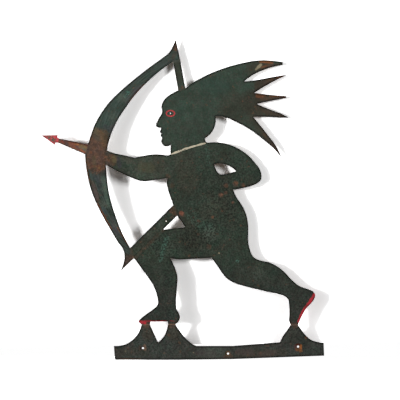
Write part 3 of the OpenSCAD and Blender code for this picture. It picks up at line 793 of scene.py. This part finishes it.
def necklacePath(look):
    (x0, z0), (x1, z1) = look["from"], look["to"]
    path = []
    for i in range(look["points"]):
        t = i / (look["points"] - 1)
        drop = look["sag"] * math.sin(math.pi * t) * (0.4 + 0.6 * t)
        path.append((x0 + (x1 - x0) * t, z0 + (z1 - z0) * t + drop))
    return path


def eyePath(look):
    path = []
    for i in range(look["points"]):
        turn = 2 * math.pi * i / look["points"]
        path.append((look["middle"][0] + look["long"] * math.cos(turn),
                     look["middle"][1] + look["high"] * math.sin(turn)))
    return path


brushedLine("necklace_line", necklacePath(necklaceLook), necklaceLook,
            filmPaint("cream paint, necklace", necklaceLook))
brushedLine("eye_ring", eyePath(eyeLook), eyeLook, filmPaint("red paint, eye", eyeLook),
            closed=True)
print("brushed lines laid")


# Brazed beads on the back, over the joints that stand proud.

beadLook = {
    # lengths in millimetres: the bead, its drops and its ends, and how far apart its rings are
    "width": 6.0, "high": 0.92, "step": 2.3, "bowed": 0.5, "taper": 2.4, "every": 0.45,
    "above": 0.01, "sunk": 0.06, "dome": 11, "crown": 2.3, "tuck": 0.95, "wave": 240,
    # shares of the width and height: steady, with the drops, with the wobble; and of the width at an end
    "widths": (0.86, 0.1, 0.036), "heights": (0.72, 0.2, 0.08), "endWidth": 0.35,
    # the filler that runs through the joint
    "filler": 1.5, "fillerEvery": 1.2, "fillerSunk": 0.05, "fillerUneven": 0.04, "fillerBack": 0.02}
proud = 0.4 * mm  # past this, a joint's solid stands out of the back and gets a bead

# what the joint's filling is painted with on the front
frontPaint = {"hand": bowPaint, "arrow": shaftIron, "arrow_head": shaftIron, "upper_nock": bowPaint,
              "lower_nock": bowPaint, "head": archerPaint, "waist": archerPaint, "knee": archerPaint}


def crownEnds(name, middle, along):
    reach = [(Vector((v.co.x, v.co.z)) - middle).dot(along)
             for v in node[name].data.vertices if v.co.y > proud]
    return min(reach), max(reach)


def shared(shares, ripple, wobble):
    return shares[0] + shares[1] * ripple + shares[2] * wobble


def rippledCrown(mesh, look, middle, along, low, high, drift):
    # overlapping drops of melted metal, each bowed forward in the middle
    across = Vector((-along.y, along.x))
    rings = []
    count = max(10, int((high - low) / (look["every"] * mm)))
    for i in range(count + 1):
        s = low + (high - low) * i / count
        fromEnd = min(s - low, high - s) / (look["taper"] * mm)
        tip = math.sqrt(1 - (1 - fromEnd) ** 2) if fromEnd < 1 else 1
        wobble = noise.noise(Vector((s * look["wave"] + drift, 0.5, 1.5)))
        ripple = abs(math.sin(math.pi * s / (look["step"] * mm) + wobble))
        half = look["width"] / 2 * mm * shared(look["widths"], ripple, wobble)
        half *= look["endWidth"] + (1 - look["endWidth"]) * tip
        rise = look["high"] * mm * shared(look["heights"], ripple, wobble) * tip
        forward = look["bowed"] * mm if 0.03 < i / count < 0.97 else 0
        ring = []
        for j in range(look["dome"]):
            side = -1 + 2 * j / (look["dome"] - 1)
            point = middle + along * (s - forward * (1 - side * side)) + across * half * side
            height = look["above"] * mm + rise * (1 - abs(side) ** look["crown"])
            ring.append(mesh.verts.new((point.x, height, point.y)))
        for side in (look["tuck"], -look["tuck"]):
            point = middle + along * s + across * half * side
            ring.append(mesh.verts.new((point.x, -look["sunk"] * mm, point.y)))
        rings.append(ring)
    joinRings(mesh, rings, look["dome"] - 1)


def filling(mesh, look, middle, along, length, drift):
    # metal that runs through to the front, a little sunk and dipped there
    across = Vector((-along.y, along.x))
    rings = []
    count = max(8, int(length / (look["fillerEvery"] * mm)))
    back = -look["fillerBack"] * mm
    for i in range(count + 1):
        s = length * (i / count - 0.5)
        wobble = noise.noise(Vector((s * 300 + drift, 3, 8)))
        sunk = (look["fillerSunk"] + look["fillerUneven"] * wobble) * mm
        front = sunk - thick
        ring = []
        for side, y in ((-1, front), (0, front + sunk * 0.6), (1, front), (1, back), (-1, back)):
            point = middle + along * s + across * side * look["filler"] / 2 * mm
            ring.append(mesh.verts.new((point.x, y, point.y)))
        rings.append(ring)
    joinRings(mesh, rings, 0)


def brazedBead(name, look, seed):
    middle, along, length = jointLine(name)
    random.seed(seed)
    drift = random.uniform(0, 90)
    mesh = bmesh.new()
    rippledCrown(mesh, look, middle, along, *crownEnds(name, middle, along), drift)
    filling(mesh, look, middle, along, length, drift)
    for face in mesh.faces:
        face.material_index = 1 if face.calc_center_median().y < -0.9 * thick else 0
    bead = newPiece(name + "_bead", mesh, brazing, frontPaint[name.removesuffix("_seam")])
    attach(bead, "root")
    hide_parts(name)


for seed, name in enumerate(sorted(node)):
    if name.endswith("_seam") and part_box(name)[1].y > proud:
        brazedBead(name, beadLook, seed)
print("beads laid")


# Stage: white paper that hangs behind the figure, nearest at the hair, and runs out under the rail.

def steps(first, step, count):
    return [first + step * i for i in range(count)]


stageLook = {
    # how far behind the figure the paper hangs, how it leans, and how it comes nearer to the right
    "near": 4 * mm, "middle": 14 * mm, "lean": 0.019, "aside": 0.015, "ease": 6 * mm,
    # it sags below one height, and is tucked in below two others, to the right of a place
    "sag": (275 * mm, 0.64), "tucks": [(150 * mm, 0.6, -3.0), (74 * mm, 9.5, -128 * mm)],
    "tuckRise": 70 * mm,
    # the hollow behind the bow: its place, depth and width
    "hollow": (-226 * mm, 340 * mm, 33 * mm, 260 * mm),
    "floor": -26 * mm, "floorFront": -3.0, "sweep": 12 * mm, "sweepSteps": 12,
    "rows": steps(-0.005, 0.005, 14) + steps(0.08, 0.02, 32) + [0.9, 1.9],
    "columns": [-2.0, -1.0, -0.6] + steps(-0.44, 0.02, 41) + [0.6, 1.0, 2.0],
    # over-bright, and all white between these two heights and below, which rise to the right
    "white": (1.85, 1.85, 1.85, 1), "blownOut": (17.5 * mm, 16.2 * mm, 0.02)}


def shownRays(tree):
    # the rays that show a thing: to the camera, off a mirror or through glass
    path = add(tree, "LightPath").outputs
    return calc(tree, "MAXIMUM", calc(tree, "MAXIMUM", path["Is Camera Ray"], path["Is Glossy Ray"]),
                path["Is Transmission Ray"])


def stageMaterial(name, look):
    # seen from the front only, and not where it is blown out behind the rail, as the room is as
    # white there; all rays but the shown ones go through
    material, tree, shader, place = newMaterial(name)
    shader.inputs["Base Color"].default_value = look["white"]
    shader.inputs["Roughness"].default_value = 0.9
    shader.inputs["Specular IOR Level"].default_value = 0
    shader.inputs["Emission Color"].default_value = (1, 1, 1, 1)
    axes = add(tree, "SeparateXYZ", {0: place}).outputs
    top, foot, rise = look["blownOut"]
    height = calc(tree, "SUBTRACT", axes["Z"], times(tree, axes["X"], rise))
    feed(tree, shader.inputs["Emission Strength"], remap(tree, height, top, foot))
    seen = shownRays(tree)
    back = add(tree, "NewGeometry").outputs["Backfacing"]
    low = times(tree, calc(tree, "LESS_THAN", height, foot),
                calc(tree, "GREATER_THAN", axes["Z"], look["floor"] + look["sweep"]))
    seen = calc(tree, "SUBTRACT", seen, calc(tree, "MAXIMUM", back, low), clamp=True)
    clear = add(tree, "BsdfTransparent")
    mix = add(tree, "MixShader", {0: seen, 1: clear.outputs[0], 2: shader.outputs[0]})
    tree.links.new(mix.outputs[0], tree.nodes["Material Output"].inputs["Surface"])
    return material


def paperGap(look, x, z):
    # how far behind the sheet the paper hangs; it never comes nearer than the hair's tips allow
    foot, curl = look["sag"]
    hollowX, hollowZ, deep, wide = look["hollow"]
    gap = look["middle"] - look["lean"] * z + curl * max(0, foot - z) ** 2
    for low, pull, left in look["tucks"]:
        gap -= pull * max(0, low - z) ** 2 * min(1, max(0, (x - left) / look["tuckRise"]))
    gap -= look["aside"] * max(0, x)
    gap += deep * math.exp(-((x - hollowX) ** 2 + (z - hollowZ) ** 2) / wide ** 2)
    over = gap - look["near"]
    return look["near"] + (over + math.sqrt(over ** 2 + look["ease"] ** 2)) / 2


def wallAndFloor(look):
    mesh = bmesh.new()
    floor, bend, count = look["floor"], look["sweep"], look["sweepSteps"]
    columns = []
    for x in look["columns"]:
        start = paperGap(look, x, floor + bend)
        profile = [(look["floorFront"], floor)]
        for i in range(count + 1):
            turn = math.radians(90 * i / count)
            profile.append((start - bend + bend * math.sin(turn), floor + bend - bend * math.cos(turn)))
        for z in look["rows"]:
            profile.append((paperGap(look, x, z), z))
        columns.append([mesh.verts.new((x, y, z)) for y, z in profile])
    for left, right in zip(columns, columns[1:]):
        for i in range(len(left) - 1):
            mesh.faces.new((left[i], right[i], right[i + 1], left[i + 1])).smooth = True
    wall = newPiece("stage", mesh, stageMaterial("white paper", look))


wallAndFloor(stageLook)

cameraLook = {"lens": 100, "sensor": 36, "away": 2.222, "aim": (-56 * mm, 0, 307 * mm)}
lampLook = {
    # place, width, share of plain white that it gives a sheet facing it
    "window, left": ((-2.3, -2.1, 0.5), 0.36, 0.42),
    "net curtain, left": ((-2.3, -2.1, 0.5), 1.7, 0.17),
    "softbox, right": ((2.4, -2.94, 0.75), 1.1, 0.36),
    "room, behind": ((1.6, 2.4, 0.9), 1.6, 0.6),
}
ambient = 0.035

camera = bpy.data.cameras.new("camera")
camera.lens = cameraLook["lens"]
camera.sensor_width = cameraLook["sensor"]
eye = newObject("camera", camera)
aim = Vector(cameraLook["aim"])
eye.location = aim + Vector((0, -cameraLook["away"], 0))
eye.rotation_euler = (math.radians(90), 0, 0)
bpy.context.scene.camera = eye

for name, (spot, width, share) in lampLook.items():
    lamp = bpy.data.lights.new(name, "AREA")
    lamp.shape = "SQUARE"
    lamp.size = width
    toward = aim - Vector(spot)
    away = toward.length
    facing = abs(toward.normalized().y)
    lamp.energy = share * math.pi ** 2 * away ** 2 / facing
    holder = newObject(name, lamp)
    holder.location = spot
    holder.rotation_euler = toward.to_track_quat("-Z", "Y").to_euler()

world = bpy.data.worlds.new("room")
bpy.context.scene.world = world
world.use_nodes = True
room = world.node_tree
room.nodes["Background"].inputs["Color"].default_value = (1, 1, 1, 1)
strength = remap(room, shownRays(room), 0.0, 1.0, ambient, 1.0, smooth=False)
feed(room, room.nodes["Background"].inputs["Strength"], strength)
bpy.context.scene.view_settings.view_transform = "Standard"
print("stage, camera and lamps set")
